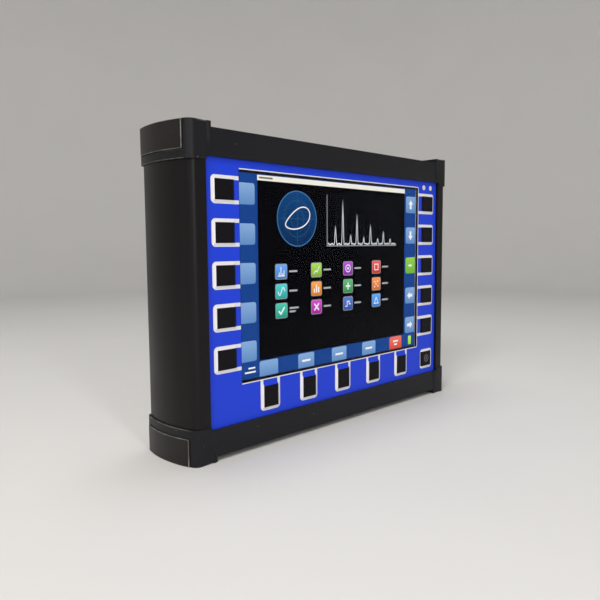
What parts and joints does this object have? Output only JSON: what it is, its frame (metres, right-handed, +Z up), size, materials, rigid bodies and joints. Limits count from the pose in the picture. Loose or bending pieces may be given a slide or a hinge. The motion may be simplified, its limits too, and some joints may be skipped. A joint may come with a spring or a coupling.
{
  "type": "handheld vibration meter",
  "caption": "Portable vibration analyser: black tube case with corner blocks, wide display in a blue keypad with embossed push keys, and a recessed connector plate on top.",
  "frame": {"origin": "middle of the underside, between the lower faces of the corner blocks", "axes": "+X to the right seen from the front, +Y to the rear (the display faces -Y), +Z up"},
  "size_m": [0.28, 0.055, 0.205],
  "materials": {
    "black_anodised": "satin black anodised extrusion",
    "charcoal_cap": "fine textured charcoal coat",
    "insert_coat": "smooth satin charcoal coat",
    "plate_coat": "matte dark coat",
    "blue_film": "printed satin film",
    "key_black": "embossed matte black",
    "window_glass": "clear hardened pane",
    "display_dark": "lit screen",
    "black_rubber": "soft foam and rubber",
    "screw_steel": "zinc plated",
    "sheet_steel": "plain sheet",
    "board_green": "solder mask",
    "board_blue": "solder mask",
    "brass_part": "turned",
    "nickel_plate": "nickel plated",
    "white_plastic": "moulded insulator",
    "lens_white": "milky lens",
    "black_plastic": "moulded",
    "battery_wrap": "shrink wrap",
    "flat_cable_film": "polyimide film"
  },
  "bodies": {
    "housing": {"housing_profile": "black_anodised", "top_end_cap": "charcoal_cap", "bottom_end_cap": "charcoal_cap", "top_left_insert": "insert_coat", "top_right_insert": "insert_coat", "bottom_left_insert": "insert_coat", "bottom_right_insert": "insert_coat", "top_seal": "black_rubber", "bottom_seal": "black_rubber", "connector_plate": "plate_coat", "bottom_plate": "plate_coat", "cap_screws": "screw_steel", "keypad_overlay": "blue_film", "display_window": "window_glass", "display_gasket": "black_rubber", "display_panel": "display_dark", "display_tray": "sheet_steel", "keypad_board": "board_green", "keypad_studs": "screw_steel", "keypad_nuts": "screw_steel", "switch_bodies": "black_plastic", "led_lenses": "lens_white", "status_leds": "lens_white", "main_board": "board_green", "processor_cover": "sheet_steel", "coin_cell": "sheet_steel", "memory_card": "black_plastic", "input_board": "board_blue", "input_shield": "sheet_steel", "board_standoffs": "brass_part", "board_screws": "screw_steel", "battery_tray": "sheet_steel", "battery_pack": "battery_wrap", "battery_lead": "black_plastic", "display_ribbon": "flat_cable_film", "keypad_ribbon": "flat_cable_film", "bnc_jacks": "nickel_plate", "bnc_nuts": "nickel_plate", "bnc_insulators": "white_plastic", "bnc_contacts": "brass_part", "audio_jack": "black_plastic", "usb_a_socket": "sheet_steel", "usb_mini_socket": "sheet_steel", "power_jack": "black_plastic"},
    "key_left_1_body": {"key_left_1": "key_black"},
    "key_left_2_body": {"key_left_2": "key_black"},
    "key_left_3_body": {"key_left_3": "key_black"},
    "key_left_4_body": {"key_left_4": "key_black"},
    "key_left_5_body": {"key_left_5": "key_black"},
    "key_right_1_body": {"key_right_1": "key_black"},
    "key_right_2_body": {"key_right_2": "key_black"},
    "key_right_3_body": {"key_right_3": "key_black"},
    "key_right_4_body": {"key_right_4": "key_black"},
    "key_right_5_body": {"key_right_5": "key_black"},
    "key_bottom_1_body": {"key_bottom_1": "key_black"},
    "key_bottom_2_body": {"key_bottom_2": "key_black"},
    "key_bottom_3_body": {"key_bottom_3": "key_black"},
    "key_bottom_4_body": {"key_bottom_4": "key_black"},
    "key_bottom_5_body": {"key_bottom_5": "key_black"},
    "key_power_body": {"key_power": "key_black"}
  },
  "joints": [
    {"name": "key_left_1_press", "type": "slide", "parent": "housing", "child": "key_left_1_body", "axis": [0, 1, 0], "range_m": [0, 0.0006], "stiffness_N_per_m": 1500, "springref_m": -0.0006},
    {"name": "key_left_2_press", "type": "slide", "parent": "housing", "child": "key_left_2_body", "axis": [0, 1, 0], "range_m": [0, 0.0006], "stiffness_N_per_m": 1500, "springref_m": -0.0006},
    {"name": "key_left_3_press", "type": "slide", "parent": "housing", "child": "key_left_3_body", "axis": [0, 1, 0], "range_m": [0, 0.0006], "stiffness_N_per_m": 1500, "springref_m": -0.0006},
    {"name": "key_left_4_press", "type": "slide", "parent": "housing", "child": "key_left_4_body", "axis": [0, 1, 0], "range_m": [0, 0.0006], "stiffness_N_per_m": 1500, "springref_m": -0.0006},
    {"name": "key_left_5_press", "type": "slide", "parent": "housing", "child": "key_left_5_body", "axis": [0, 1, 0], "range_m": [0, 0.0006], "stiffness_N_per_m": 1500, "springref_m": -0.0006},
    {"name": "key_right_1_press", "type": "slide", "parent": "housing", "child": "key_right_1_body", "axis": [0, 1, 0], "range_m": [0, 0.0006], "stiffness_N_per_m": 1500, "springref_m": -0.0006},
    {"name": "key_right_2_press", "type": "slide", "parent": "housing", "child": "key_right_2_body", "axis": [0, 1, 0], "range_m": [0, 0.0006], "stiffness_N_per_m": 1500, "springref_m": -0.0006},
    {"name": "key_right_3_press", "type": "slide", "parent": "housing", "child": "key_right_3_body", "axis": [0, 1, 0], "range_m": [0, 0.0006], "stiffness_N_per_m": 1500, "springref_m": -0.0006},
    {"name": "key_right_4_press", "type": "slide", "parent": "housing", "child": "key_right_4_body", "axis": [0, 1, 0], "range_m": [0, 0.0006], "stiffness_N_per_m": 1500, "springref_m": -0.0006},
    {"name": "key_right_5_press", "type": "slide", "parent": "housing", "child": "key_right_5_body", "axis": [0, 1, 0], "range_m": [0, 0.0006], "stiffness_N_per_m": 1500, "springref_m": -0.0006},
    {"name": "key_bottom_1_press", "type": "slide", "parent": "housing", "child": "key_bottom_1_body", "axis": [0, 1, 0], "range_m": [0, 0.0006], "stiffness_N_per_m": 1500, "springref_m": -0.0006},
    {"name": "key_bottom_2_press", "type": "slide", "parent": "housing", "child": "key_bottom_2_body", "axis": [0, 1, 0], "range_m": [0, 0.0006], "stiffness_N_per_m": 1500, "springref_m": -0.0006},
    {"name": "key_bottom_3_press", "type": "slide", "parent": "housing", "child": "key_bottom_3_body", "axis": [0, 1, 0], "range_m": [0, 0.0006], "stiffness_N_per_m": 1500, "springref_m": -0.0006},
    {"name": "key_bottom_4_press", "type": "slide", "parent": "housing", "child": "key_bottom_4_body", "axis": [0, 1, 0], "range_m": [0, 0.0006], "stiffness_N_per_m": 1500, "springref_m": -0.0006},
    {"name": "key_bottom_5_press", "type": "slide", "parent": "housing", "child": "key_bottom_5_body", "axis": [0, 1, 0], "range_m": [0, 0.0006], "stiffness_N_per_m": 1500, "springref_m": -0.0006},
    {"name": "key_power_press", "type": "slide", "parent": "housing", "child": "key_power_body", "axis": [0, 1, 0], "range_m": [0, 0.0006], "stiffness_N_per_m": 1500, "springref_m": -0.0006}
  ]
}
